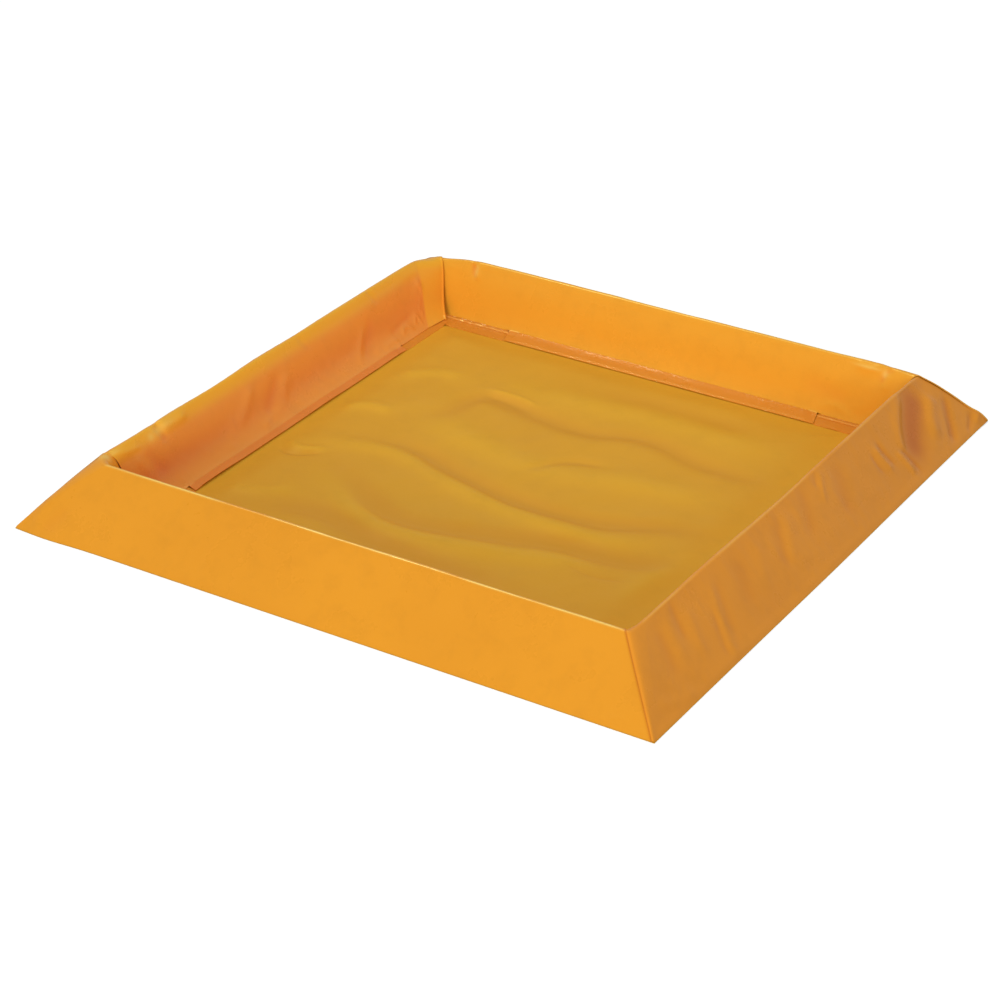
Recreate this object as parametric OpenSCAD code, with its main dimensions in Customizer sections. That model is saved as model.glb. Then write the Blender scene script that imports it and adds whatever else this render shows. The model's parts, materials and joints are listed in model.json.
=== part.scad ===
// Collapsible spill containment tray: a square liner of coated fabric with a foam wedge along each
// side, a fabric cover over each wedge, and an access flap along the inner foot of each wall.
// Millimetres. Z is up. The origin is the centre of the underside.

/* [Tray] */
// Side of the square footprint
side = 1219; // [900:1:1500]
// Height of the wall ridges above the underside
wall_h = 110; // [80:1:150]
// Thickness of the coated fabric
fabric_t = 1; // [0.6:0.1:1.2]

/* [Walls] */
// Horizontal distance from the outer edge to the ridge
ridge_in = 98; // [80:1:120]
// Horizontal distance from the outer edge to the inner foot of a wall
wall_w = 135; // [125:1:160]
// Outer radius of the fabric where it turns over the ridge
ridge_r = 6; // [4:0.5:8]
// Width of the cover's lower hem, which laps on the liner under the foam
hem_w = 32; // [20:1:40]

/* [Corner laps] */
// Width of a corner lap on its own wall
lap_back_w = 14; // [8:1:25]
// Width of the lap on the next wall, at the base
lap_foot_w = 4; // [3:1:20]
// Width of the lap on the next wall, at the ridge
lap_ridge_w = 10; // [5:1:45]

/* [Access flaps] */
// Length of a flap along its wall
flap_len = 650; // [400:1:700]
// Width of a flap, from the inner foot of the wall to its free edge
flap_w = 44; // [36:1:55]
// Width of the covers' feet that are welded down beside the flaps
tab_w = 15; // [10:1:20]
// Width of the hook and the loop strip
closure_w = 25; // [20:1:30]
// Thickness of the hook strip, and of the loop strip
closure_t = 1.2; // [0.8:0.1:1.5]

/* [Hidden] */
SIDES = ["front", "right", "back", "left"];

fabric_colour = [0.93, 0.62, 0.15];
foam_colour = [0.86, 0.86, 0.82];
closure_colour = [0.12, 0.12, 0.12];

foam_gap = 0.3;            // foam to fabric, all round
mitre_gap = 2;             // between the ends of two foam wedges
arc_steps = 12;            // chords in the turn over the ridge
closure_gap = 0.3;         // hook strip to loop strip, pressed closed
closure_inset = 6;         // free edge of a flap to its loop strip
closure_end = 30;          // end of a flap to the end of its strips
flap_off = 1.3;            // inner face of a wall to the fold line of its flap
patch_gap = 0.3;           // floor patch and foot tab to wall and to flap
cut_extra = 1;             // how far a cutting solid passes the faces it cuts

liner_top = fabric_t;
// The turn over the ridge has its centre here, as [distance in from the outer edge, height]
ridge_c = [ridge_in, wall_h - ridge_r];
// Slopes of the outer and the inner face, which run tangent to that turn
outer_d = norm([ridge_c.x, ridge_c.y - liner_top]);
inner_d = norm([wall_w - ridge_c.x, ridge_c.y - liner_top]);
outer_a = atan2(ridge_c.y - liner_top, ridge_c.x) + asin(ridge_r / outer_d);
inner_a = atan2(ridge_c.y - liner_top, wall_w - ridge_c.x) + asin(ridge_r / inner_d);
// Length of the flat part of the outer face, up the slope
outer_len = sqrt(outer_d * outer_d - ridge_r * ridge_r);
// Height of a closed flap's middle plane, and how far in its fold line is
fold_z = liner_top + 2 * closure_t + closure_gap + fabric_t / 2;
fold_in = wall_w - (fold_z - liner_top) / tan(inner_a) + flap_off;

// Distance in from the outer edge of the outer and the inner face, at height z and inset by d
function outer_in(z, d) = (z - liner_top) / tan(outer_a) + d / sin(outer_a);
function inner_in(z, d) = wall_w - (z - liner_top) / tan(inner_a) - d / sin(inner_a);

// A wall's cross-section, inset by d and standing on height z
function wall_outline(d, z) = concat(
    [[outer_in(z, d), z]],
    [for (i = [0:arc_steps])
        let (a = 90 + outer_a - i * (outer_a + inner_a) / arc_steps)
        ridge_c + (ridge_r - d) * [cos(a), sin(a)]],
    [[inner_in(z, d), z]]
);

// Puts what is drawn for the front wall on wall i. Y runs inward from the outer edge.
module on_wall(i) {
    rotate([0, 0, 90 * i]) translate([0, -side / 2, 0]) children();
}

// A cross-section drawn as [distance in, height], run along the wall
module along_wall(length) {
    rotate([90, 0, 90]) linear_extrude(height = length, center = true) children();
}

// The 45 degree mitred space that one wall fills, with its ends drawn back by gap
module mitred_space(gap) {
    half = side / 2 - gap;
    depth = wall_w + cut_extra;
    linear_extrude(height = wall_h + cut_extra)
        polygon([[-half, 0], [half, 0], [half - depth, depth], [-half + depth, depth]]);
}

// A thin strip on a wall's outer face along its left hip, from v0 to v1 up the slope
module hip_strip(foot_w, ridge_w) {
    v0 = fabric_t;
    v1 = outer_len - fabric_t;
    hip0 = -side / 2 + v0 * cos(outer_a);
    hip1 = -side / 2 + v1 * cos(outer_a);
    translate([0, 0, liner_top]) rotate([outer_a, 0, 0]) linear_extrude(height = fabric_t)
        polygon([
            [hip0 - fabric_t, v0], [hip0 + foot_w, v0],
            [hip1 + ridge_w, v1], [hip1 - fabric_t, v1]
        ]);
}

// Swaps a wall's left end for the end of the wall that it meets there
module across_left_hip() {
    translate([-side / 2, 0, 0]) mirror([1, -1, 0]) translate([side / 2, 0, 0]) children();
}

// The sheet under the whole tray, which is also the basin's floor
module base_liner() {
    color(fabric_colour) translate([-side / 2, -side / 2, 0]) cube([side, side, fabric_t]);
}

// The closed-cell foam inside one wall
module foam_wedge(i) {
    foam_z = liner_top + fabric_t + foam_gap;
    color(foam_colour) on_wall(i) intersection() {
        along_wall(side) polygon(wall_outline(fabric_t + foam_gap, foam_z));
        mitred_space(mitre_gap / 2);
    }
}

// The fabric over one wall: lower hem, outer face, ridge and inner face
module wall_cover(i) {
    color(fabric_colour) on_wall(i) difference() {
        intersection() {
            along_wall(side) polygon(wall_outline(0, liner_top));
            mitred_space(0);
        }
        along_wall(side + 2 * cut_extra) polygon(wall_outline(fabric_t, liner_top + fabric_t));
        // the cover is open below, inside its hem
        translate([-side / 2, hem_w, 0])
            cube([side, inner_in(liner_top, fabric_t) - hem_w, liner_top + 2 * fabric_t]);
        // the foam's way out, behind the flap
        translate([-flap_len / 2 - patch_gap, wall_w - 2 * flap_off - fabric_t, 0])
            cube([flap_len + 2 * patch_gap, 4 * flap_off, fold_z]);
    }
}

// The lap at the left end of wall i, which turns round the hip and is welded to both outer faces
module corner_lap(i) {
    color(fabric_colour) on_wall(i) union() {
        hip_strip(lap_back_w, lap_back_w);
        across_left_hip() hip_strip(lap_foot_w, lap_ridge_w);
    }
}

// The flap over the foam's way out, which turns up about its fold line
module access_flap(i) {
    color(fabric_colour) on_wall(i) translate([0, fold_in, fold_z]) {
        rotate([0, 90, 0]) cylinder(h = flap_len, d = fabric_t, center = true, $fn = 24);
        translate([-flap_len / 2, 0, -fabric_t / 2])
            cube([flap_len, wall_w + flap_w - fold_in, fabric_t]);
    }
}

// One strip of the flap's closure, with its lower face at height z
module closure_strip(i, z) {
    color(closure_colour) on_wall(i)
        translate([-flap_len / 2 + closure_end, wall_w + flap_w - closure_inset - closure_w, z])
            cube([flap_len - 2 * closure_end, closure_w, closure_t]);
}

// The loop strip sewn under a flap
module loop_strip(i) {
    closure_strip(i, fold_z - fabric_t / 2 - closure_t);
}

// The hook strip on the floor
module hook_strip(i) {
    closure_strip(i, liner_top);
}

// An L-shaped sheet round the inner corner at the left end of wall i, from one flap's end to the next,
// with its lower face at height z
module corner_sheet(i, width, z) {
    near = wall_w + patch_gap;
    far = wall_w + width;
    end = side / 2 - flap_len / 2 - patch_gap;
    color(fabric_colour) on_wall(i) translate([-side / 2, 0, z]) linear_extrude(height = fabric_t)
        polygon([[near, near], [end, near], [end, far], [far, far], [far, end], [near, end]]);
}

// The patch welded on the floor
module floor_patch(i) {
    corner_sheet(i, flap_w, liner_top);
}

// The feet of the two covers that meet at the corner, welded down on the patch
module foot_tab(i) {
    corner_sheet(i, tab_w, liner_top + fabric_t);
}

base_liner();
for (i = [0:3]) {
    foam_wedge(i);
    wall_cover(i);
    corner_lap(i);
    access_flap(i);
    loop_strip(i);
    hook_strip(i);
    floor_patch(i);
    foot_tab(i);
}
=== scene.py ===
"""Looks of the collapsible spill tray: coated fabric covers over foam wedges, a floor sheet, corner patches
and access flaps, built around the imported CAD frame. Lengths are in metres, in the CAD frame."""

import json
import math

import bpy
import numpy as np
from mathutils import Matrix, Vector

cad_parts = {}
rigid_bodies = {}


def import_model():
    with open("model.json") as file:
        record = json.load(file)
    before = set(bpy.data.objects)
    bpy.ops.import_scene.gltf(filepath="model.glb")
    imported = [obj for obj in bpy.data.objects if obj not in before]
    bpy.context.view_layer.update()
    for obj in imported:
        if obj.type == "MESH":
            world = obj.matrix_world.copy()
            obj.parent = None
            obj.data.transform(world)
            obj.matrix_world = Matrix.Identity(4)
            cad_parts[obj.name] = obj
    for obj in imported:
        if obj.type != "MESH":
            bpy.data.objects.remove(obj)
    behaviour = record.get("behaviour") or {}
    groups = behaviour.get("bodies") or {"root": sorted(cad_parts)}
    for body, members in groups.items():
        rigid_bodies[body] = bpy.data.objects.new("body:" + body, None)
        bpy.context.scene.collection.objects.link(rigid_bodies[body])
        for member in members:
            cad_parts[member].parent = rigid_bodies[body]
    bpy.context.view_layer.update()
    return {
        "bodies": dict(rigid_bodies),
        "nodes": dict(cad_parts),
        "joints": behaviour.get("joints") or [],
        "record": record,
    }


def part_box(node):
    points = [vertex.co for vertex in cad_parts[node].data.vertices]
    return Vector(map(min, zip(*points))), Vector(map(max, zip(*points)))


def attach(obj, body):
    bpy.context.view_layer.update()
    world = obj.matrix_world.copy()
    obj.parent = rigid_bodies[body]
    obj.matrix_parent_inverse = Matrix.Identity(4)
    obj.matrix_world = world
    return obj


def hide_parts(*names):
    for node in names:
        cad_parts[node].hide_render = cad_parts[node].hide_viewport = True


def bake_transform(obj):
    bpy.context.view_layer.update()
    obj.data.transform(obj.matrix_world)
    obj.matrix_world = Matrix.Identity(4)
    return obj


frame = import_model()

# --- sizes, read from the frame ---

WALLS = ("front", "right", "back", "left")
liner_low, liner_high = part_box("base_liner")
cover_low, cover_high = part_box("wall_cover_front")
flap_low, flap_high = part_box("access_flap_front")
_, hook_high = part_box("hook_strip_front")
foam_low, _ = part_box("foam_wedge_front")

HALF = (liner_high.x - liner_low.x) / 2  # half the tray's side
SHEET = liner_high.z - liner_low.z  # thickness of the coated fabric
WALL_H = cover_high.z
WALL_W = cover_high.y - cover_low.y  # outer edge to inner foot
FLAP_HALF = (flap_high.x - flap_low.x) / 2
FLAP_Z = (flap_low.z + flap_high.z) / 2  # middle plane of a closed flap
FOLD_IN = flap_low.y + SHEET / 2 + HALF  # outer edge to a flap's fold line
FLAP_TIP = flap_high.y + HALF  # outer edge to a flap's free edge

RIDGE_IN = 0.098  # outer edge to ridge, as in the CAD
RIDGE_R = 0.006  # outer radius of the turn over the ridge, as in the CAD
HEM = 0.032  # lower hem under the foam, as in the CAD

liner_top = SHEET
ridge_z = WALL_H - RIDGE_R
OUTER_A = math.atan2(ridge_z - liner_top, RIDGE_IN) + math.asin(
    RIDGE_R / math.hypot(RIDGE_IN, ridge_z - liner_top)
)
INNER_A = math.atan2(ridge_z - liner_top, WALL_W - RIDGE_IN) + math.asin(
    RIDGE_R / math.hypot(WALL_W - RIDGE_IN, ridge_z - liner_top)
)

# --- small tools ---


def by_wall(*values):
    """A value for each wall, given in the order front, right, back, left."""
    return dict(zip(WALLS, values))


def smooth(t):
    """0 to 1 with level ends."""
    t = np.clip(t, 0.0, 1.0)
    return t * t * (3 - 2 * t)


def outer_in(z, inset=0.0):
    """Distance in from the outer edge of a wall's outer face at height z."""
    return (z - liner_top) / math.tan(OUTER_A) + inset / math.sin(OUTER_A)


def inner_in(z, inset=0.0):
    """Distance in from the outer edge of a wall's inner face at height z."""
    return WALL_W - (z - liner_top) / math.tan(INNER_A) - inset / math.sin(INNER_A)


def to_frame(wall, points):
    """Points given as (along, in from the outer edge, height) on the front wall, turned on to another."""
    return turn(wall, np.asarray(points, float) - [0, HALF, 0])


def turn(wall, vectors):
    """Directions on the front wall, turned on to another."""
    v = np.asarray(vectors, float)
    x, y, z = v[..., 0], v[..., 1], v[..., 2]
    turned = ((x, y), (-y, x), (-x, -y), (y, -x))[WALLS.index(wall)]
    return np.stack([*turned, z], axis=-1)


def row_of(along, d, z):
    """A row of points along a wall, with how far in and how high they are, as one number or one for each."""
    return np.stack(np.broadcast_arrays(along, d, z), axis=1)


def on_wall(wall, face, along, z):
    """A point on a wall's face; along is the frame's x on the front and back walls, its y on the others."""
    x = along if wall in ("front", "right") else -along
    d = {"outer": outer_in, "inner": inner_in}[face](min(z, ridge_z))
    if z > ridge_z:
        d = RIDGE_IN
    return to_frame(wall, (x, d, z))


def ripples(points, seed, count, height, shortest, longest):
    """A gentle random unevenness, the same each run: a sum of sine waves in random directions."""
    r = np.random.default_rng(seed)
    total = np.zeros(len(points))
    for _ in range(count):
        direction = r.normal(size=3)
        direction /= np.linalg.norm(direction)
        wave = math.exp(r.uniform(math.log(shortest), math.log(longest)))
        phase = r.uniform(0, 2 * math.pi)
        total += np.sin(2 * math.pi * (points @ direction) / wave + phase) * wave
    return total * height / (math.sqrt(count) * math.sqrt(shortest * longest))


# --- folds and sags ---


def fold(points, width, height, sharp=False, ends=0.25):
    """A fold along a line: width and height in millimetres, a valley if the height is below 0."""
    return {
        "line": np.array(points, float),
        "width": width / 1000,
        "height": height / 1000,
        "sharp": sharp,
        "ends": ends,
    }


def curved(line, steps=6):
    """A smooth line through a few points (Catmull-Rom)."""
    if len(line) < 3:
        return line
    p = np.vstack([2 * line[0] - line[1], line, 2 * line[-1] - line[-2]])
    out = []
    for i in range(1, len(p) - 2):
        for t in np.linspace(0, 1, steps, endpoint=False):
            a = 2 * p[i] + (p[i + 1] - p[i - 1]) * t
            b = 2 * p[i - 1] - 5 * p[i] + 4 * p[i + 1] - p[i + 2]
            c = -p[i - 1] + 3 * p[i] - 3 * p[i + 1] + p[i + 2]
            out.append((a + b * t * t + c * t * t * t) / 2)
    return np.array(out + [line[-1]])


def folded(points, folds):
    """How far each point stands out along its normal because of the folds."""
    total = np.zeros(len(points))
    for f in folds:
        line = curved(f["line"])
        reach = 4.5 * f["width"]
        near = np.all(points > line.min(0) - reach, 1) & np.all(
            points < line.max(0) + reach, 1
        )
        p = points[near]
        if not len(p):
            continue
        lengths = np.linalg.norm(np.diff(line, axis=0), axis=1)
        starts = np.concatenate([[0], np.cumsum(lengths)])
        best = np.full(len(p), 1e9)
        place = np.zeros(len(p))
        for a, b, start, length in zip(line[:-1], line[1:], starts, lengths):
            t = np.clip(((p - a) @ (b - a)) / length**2, 0, 1)
            away = np.linalg.norm(p - a - t[:, None] * (b - a), axis=1)
            closer = away < best
            best = np.where(closer, away, best)
            place = np.where(closer, start + t * length, place)
        share = place / starts[-1]
        end = np.minimum(share, 1 - share) / f["ends"]
        q = best / f["width"]
        shape = np.exp(-q) if f["sharp"] else np.exp(-q * q)
        # the ends die away, but a short distance past the line's end still counts
        total[near] += f["height"] * shape * (0.15 + 0.85 * smooth(end))
    return total


# Folds in the covers on each face, in millimetres: ((along, height) points, width, height), and for some a
# sharp crest and the share of the length that an end takes. The photo doesn't show the last four faces.
FACE_FOLDS = {
    ("right", "outer"): [
        ([(486, 98), (444, 86), (408, 67), (378, 46), (360, 16)], 29, -8.0),
        ([(430, 106), (388, 92), (352, 66), (330, 36)], 13, 3.2),
        ([(506, 84), (468, 58), (440, 26)], 15, 3.6),
        ([(540, 68), (517, 47), (502, 30), (480, 8)], 9, -4.2),
        ([(284, 84), (288, 61), (298, 40)], 5, -3.0),
        ([(268, 84), (272, 58), (282, 36)], 7, 2.4),
        ([(332, 56), (344, 36), (352, 14)], 5, -3.4),
        ([(316, 58), (326, 36), (334, 12)], 7, 2.6),
        ([(252, 76), (252, 58), (258, 42)], 5, -2.2),
        ([(578, 26), (556, 14), (536, 4)], 6, -2.4),
        ([(590, 20), (574, 8)], 5, 2.0),
        ([(110, 104), (84, 88), (66, 68)], 6, 2.2, True),
        ([(92, 105), (70, 92)], 5, -2.0, True),
        ([(40, 104), (14, 78), (-14, 46)], 14, -1.6),
        ([(160, 100), (128, 66), (104, 30)], 18, -1.8),
        ([(-36, 100), (-66, 66), (-92, 40)], 15, 1.4),
        ([(-62, 103), (-88, 70), (-118, 38)], 14, -1.5),
        ([(-140, 100), (-168, 62), (-186, 30)], 17, 1.1),
        ([(-205, 96), (-226, 60), (-236, 34)], 18, -1.3),
        ([(-292, 98), (-318, 60), (-336, 24), (-342, 6)], 9, 1.2),
        ([(-276, 96), (-298, 60), (-316, 22)], 10, -1.1),
        ([(-324, 70), (-348, 30), (-354, 8)], 8, -1.1),
        ([(-372, 92), (-392, 60), (-402, 30)], 12, 1.4),
        ([(-396, 106), (-410, 84), (-418, 58)], 9, -1.7),
        ([(-420, 102), (-438, 76), (-446, 44)], 13, 1.3),
        ([(-456, 96), (-470, 66), (-482, 34)], 13, -1.3),
        ([(-560, 30), (-520, 18), (-460, 10)], 10, 1.4),
    ],
    ("left", "inner"): [
        ([(-356, 110), (-348, 96), (-342, 78)], 7, -5.0),
        ([(-350, 103), (-320, 100), (-270, 99)], 8, 4.0),
        ([(-500, 106), (-492, 98), (-480, 92)], 4, 3.4, True),
        ([(-484, 106), (-440, 99), (-400, 95)], 6, 3.0, True),
        ([(-470, 94), (-458, 68), (-436, 40)], 11, -1.6),
        ([(-430, 88), (-414, 60), (-398, 30)], 11, 1.8),
        ([(-398, 88), (-384, 60), (-360, 26)], 12, -1.8),
        ([(-118, 5), (-84, 18), (-40, 20)], 7, 2.8, True),
        ([(-92, 10), (-60, 44), (-22, 78)], 13, -2.4),
        ([(-58, 14), (-24, 42), (8, 66)], 13, 2.0),
        ([(-170, 30), (-132, 52), (-96, 84)], 13, 3.0),
        ([(182, 5), (206, 28), (246, 66)], 8, 2.4, True),
        ([(206, 8), (236, 34), (276, 70)], 13, -2.2),
        ([(262, 9), (300, 12), (330, 6)], 4, 2.6, True),
        ([(330, 12), (352, 20), (372, 8)], 4, 2.8, True),
        ([(376, 14), (392, 26), (398, 8)], 4, 2.4, True),
        ([(300, 22), (342, 28), (386, 34)], 5, -2.0),
        ([(284, 110), (290, 98), (300, 84)], 5, -2.2),
        ([(60, 110), (66, 96), (80, 80)], 6, -1.6),
        ([(425, 90), (432, 60), (440, 20)], 7, 1.6),
    ],
    ("back", "inner"): [
        ([(-414, 106), (-408, 95), (-406, 82)], 5, -5.0),
        ([(-398, 106), (-396, 94), (-400, 78)], 4.5, 3.6, True),
        ([(468, 110), (454, 98), (448, 78)], 5, -4.0, True),
        ([(454, 106), (424, 101), (390, 102)], 5, 3.4, True),
        ([(462, 100), (462, 84), (458, 66)], 6, 2.8),
        ([(334, 6), (350, 15), (364, 25)], 3.5, 3.4, True, 0.12),
        ([(366, 25), (384, 18), (402, 6)], 3.5, 3.4, True, 0.12),
        ([(365, 24), (368, 14), (370, 5)], 3.5, 2.6, True, 0.12),
        ([(300, 60), (340, 46), (400, 40)], 16, -1.2),
        ([(-250, 102), (-150, 98), (-60, 102)], 14, 0.8),
    ],
    ("front", "outer"): [
        ([(522, 8), (545, 16), (562, 12)], 5, 1.4, True),
        ([(588, 12), (580, 5)], 4, 1.6, True),
        ([(-578, 12), (-566, 36), (-552, 56)], 9, 2.6),
        ([(-556, 6), (-540, 26), (-520, 44)], 12, -1.4),
        ([(-420, 20), (-200, 12), (40, 18)], 22, 1.0),
        ([(120, 14), (330, 22), (500, 16)], 20, 0.8),
    ],
    ("back", "outer"): [
        ([(-400, 100), (-380, 60), (-372, 14)], 10, -2.6),
        ([(-330, 98), (-318, 50), (-322, 10)], 12, 2.2),
        ([(-90, 102), (-60, 64), (-40, 20)], 10, -1.8),
        ([(130, 100), (166, 60), (180, 18)], 11, 2.0),
        ([(360, 102), (392, 66), (404, 20)], 8, -2.4),
    ],
    ("left", "outer"): [
        ([(420, 98), (392, 54), (384, 12)], 10, 2.4),
        ([(250, 102), (214, 62), (196, 18)], 9, -2.4),
        ([(-40, 100), (-70, 58), (-84, 14)], 12, 1.8),
        ([(-346, 106), (-330, 70), (-322, 24)], 9, -2.6),
    ],
    ("front", "inner"): [
        ([(-300, 100), (-270, 60), (-262, 20)], 9, -1.8),
        ([(180, 8), (204, 40), (240, 72)], 7, 2.0, True),
    ],
    ("right", "inner"): [
        ([(-120, 96), (-96, 60), (-90, 16)], 9, -1.8),
        ([(262, 8), (290, 36), (330, 62)], 7, 2.0, True),
    ],
}
COVER_FOLDS = [
    fold([on_wall(*face, a / 1000, z / 1000) for a, z in points], *sizes)
    for face, folds in FACE_FOLDS.items()
    for points, *sizes in folds
]

# Long waves and short creases of the floor sheet, in the same manner with (x, y) points
FLOOR_LINES = [
    ([(-335, -345), (-210, -305), (-80, -335), (60, -352), (200, -350)], 27, -7.0),
    ([(-265, -160), (-90, -252), (60, -228), (200, -185), (300, -182), (425, -132)], 25, -8.5),
    ([(-300, -45), (-180, -40), (-90, -70), (65, -100), (205, -90), (325, -45), (410, -28)], 23, -8.5),
    (
        [(-290, 50), (-225, 115), (-195, 200), (-70, 190), (25, 180), (145, 210), (275, 180), (430, 185)],
        22,
        -5.5,
    ),
    ([(-400, -108), (-215, -62), (-25, -118), (190, -146), (355, -102)], 24, 6.0),
    ([(-265, -195), (-160, -270), (-40, -302), (160, -255), (320, -200)], 26, 6.5),
    ([(-300, 95), (-180, 60), (10, 20), (210, 60), (400, 80)], 36, 5.0),
    ([(-250, 262), (-60, 270), (150, 290), (380, 270)], 36, 4.0),
    ([(-60, 330), (120, 345), (300, 335)], 30, -3.0),
    ([(10, -12), (60, 66), (135, 86)], 12, -3.4),
    ([(-215, 232), (-145, 232), (-85, 218)], 5, 3.2, True),
    ([(-208, 214), (-150, 212), (-95, 198)], 9, -2.8),
    ([(-412, -143), (-370, -160), (-322, -130)], 6, -4.6, True),
    ([(-408, -116), (-366, -136), (-318, -112)], 10, 4.4),
    ([(-400, 30), (-352, 62), (-300, 60)], 17, 3.6),
    ([(-380, 190), (-330, 240), (-262, 250)], 20, 3.4),
    ([(-402, -320), (-330, -300), (-280, -262)], 16, 3.2),
    ([(230, -240), (290, -250), (350, -235)], 7, -2.4, True),
    ([(360, -300), (385, -180), (412, -60)], 24, 2.6),
]
FLOOR_FOLDS = [
    fold([(x / 1000, y / 1000, liner_top) for x, y in points], *sizes)
    for points, *sizes in FLOOR_LINES
]

# Where the filled walls lean, sag or stand up, as (centre, reach, shift), in millimetres
SAGS = [
    ((-505, 505, 104), 42, (5, -5, -7)),
    ((-470, 512, 108), 50, (0, -2, -4)),
    ((505, 505, 108), 40, (0, 0, -3)),
    ((500, 0, 110), 240, (2, 0, -1)),
    ((-512, -200, 110), 200, (-2, 0, -1)),
    ((-545, -612, 0), 60, (0, -4, 0)),
    ((600, 600, 20), 22, (3, 3, 2)),
]


def sagged(points):
    """Points moved as the walls lean and sag."""
    moved = points.copy()
    for centre, reach, shift in SAGS:
        away = np.linalg.norm(points - np.array(centre) / 1000, axis=1) / (reach / 1000)
        moved += np.exp(-away * away)[:, None] * np.array(shift) / 1000
    return moved


# --- mesh building ---


def grid_faces(first, rows, columns):
    """Quads of a block of rows by columns of points, numbered from first."""
    corners = [first + i * columns + j for i in range(rows - 1) for j in range(columns - 1)]
    return [(a, a + 1, a + columns + 1, a + columns) for a in corners]


def closed_bar(rows):
    """Points and faces of a closed solid, from rows of points along it that go round its outline."""
    count, columns = len(rows), len(rows[0])
    last = (count - 1) * columns
    faces = grid_faces(0, count, columns)
    faces += [(last + j, last + j + 1, j + 1, j) for j in range(columns - 1)]
    faces.append(tuple(i * columns for i in range(count)))
    faces.append(tuple(i * columns + columns - 1 for i in reversed(range(count))))
    return np.concatenate(rows), faces


def new_mesh(name, points, faces, material=None):
    mesh = bpy.data.meshes.new(name)
    mesh.from_pydata([tuple(p) for p in points], [], faces)
    mesh.validate()
    if material:
        mesh.materials.append(material)
    piece = bpy.data.objects.new(name, mesh)
    bpy.context.scene.collection.objects.link(piece)
    return piece


def mark(piece, name, values):
    """Stores a value at each point, for the material to read."""
    layer = piece.data.attributes.new(name, "FLOAT", "POINT")
    layer.data.foreach_set("value", np.asarray(values, float))


def apply_modifiers(piece):
    """Bakes a piece's modifiers into its mesh."""
    bpy.context.view_layer.update()
    graph = bpy.context.evaluated_depsgraph_get()
    baked = bpy.data.meshes.new_from_object(piece.evaluated_get(graph))
    piece.modifiers.clear()
    piece.data = baked


def thicken(piece, thickness=None):
    """Gives a sheet its thickness, half on each side, and closes its edges."""
    m = piece.modifiers.new("thickness", "SOLIDIFY")
    m.thickness = thickness or SHEET
    m.offset = 0
    m.use_even_offset = False
    apply_modifiers(piece)
    shade(piece)


def shade(piece, angle=50):
    for p in piece.data.polygons:
        p.use_smooth = True
    piece.data.set_sharp_from_angle(angle=math.radians(angle))


def stand_in(piece, body, slot, *nodes):
    """Puts a finished piece on a body, in the place of CAD nodes."""
    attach(piece, body)
    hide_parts(*nodes)


# --- wall covers ---

STEP = 0.0032  # size of the fabric's mesh
FLAP_STEP = 0.0025  # the same across a flap
DEEPEST = 0.0046  # how far in a fold can go before the fabric lies on the foam
LAP_LIFT = 1.15 * SHEET  # middle of a lap above the middle of the sheet under it
TAB_Z = liner_top + 1.75 * SHEET  # middle of a cover's welded foot, which lies on the corner patch
TURN_STEPS, LAP_STEPS = 10, 4  # of the mesh, round a hip and across a lap

# How each wall's cover is cut and how it lies. Lengths in metres.
#   round: turn over the ridge, as the inner face's lean just under it, in degrees
#   belly: how far the outer face stands out half way up
#   foot: size of the turn at the inner foot
#   tuck: how far in the inner face lies just above that turn, to leave room for the opened flap
#   slide, slant: where the flap sits along its wall, and how far its free edge leans that way
COVERS = {
    "front": {"round": 34, "belly": 0.0012, "foot": 0.003, "tuck": 0.004, "slide": 0.0, "slant": -0.008},
    "right": {"round": 34, "belly": 0.0020, "foot": 0.003, "tuck": 0.004, "slide": 0.0, "slant": -0.008},
    "back": {"round": 36, "belly": 0.0020, "foot": 0.003, "tuck": 0.004, "slide": -0.015, "slant": -0.012},
    "left": {"round": 49, "belly": 0.0020, "foot": 0.026, "tuck": 0.0, "slide": 0.020, "slant": 0.006},
}

# The turn round each wall's left hip, in millimetres, at the foot and at the ridge: where it starts on the
# wall itself, where it ends on the wall that it meets, and the width of the lap from there to the seam
HIPS = {
    "front": {"outer": ((3, 28), (2, 26), (6, 5)), "inner": ((26, 28), (8, 26), (5, 5)), "power": 1.8},
    "right": {"outer": ((9, 38), (1, 6), (3, 4)), "inner": ((20, 38), (6, 6), (5, 4)), "power": 0.8},
    "back": {"outer": ((4, 48), (1, 4), (4, 2)), "inner": ((42, 48), (6, 4), (4, 2)), "power": 1.7},
    "left": {"outer": ((4, 58), (2, 19), (6, 5)), "inner": ((50, 58), (6, 19), (5, 5)), "power": 1.2},
}
# How flat that turn is cut, outside and inside: 0 is round, 1 a straight chamfer, below 0 puffed out
HIP_CUT = by_wall((0.4, 0.5), (0.0, 0.3), (0.2, 0.5), (0.2, 0.97))


def next_to(wall):
    """The wall that meets a wall's right end."""
    return WALLS[(WALLS.index(wall) + 1) % 4]


def hip(wall, side, t):
    """Start, end and lap width of the turn round a wall's left hip, at a share t up a face."""
    if side == "hem":
        return 0.0, 0.0, 0.0
    sizes = HIPS[wall]["inner" if side == "inner" else "outer"]
    t = {"ridge": 1.0, "outer": t ** HIPS[wall]["power"], "inner": t}[side]
    return tuple((low + (high - low) * t) / 1000 for low, high in sizes)


def bezier(a, b, c, d, n=200):
    t = np.linspace(0, 1, n)[:, None]
    a, b, c, d = (np.array(p, float) for p in (a, b, c, d))
    return (1 - t) ** 3 * a + 3 * (1 - t) ** 2 * t * b + 3 * (1 - t) * t * t * c + t**3 * d


def even(line, step):
    """A line resampled at an even step: points, and share of the length."""
    lengths = np.concatenate([[0], np.cumsum(np.linalg.norm(np.diff(line, axis=0), axis=1))])
    shares = np.linspace(0, 1, max(3, int(lengths[-1] / step) + 1))
    at = shares * lengths[-1]
    return np.stack([np.interp(at, lengths, line[:, k]) for k in range(2)], axis=1), shares


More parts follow.
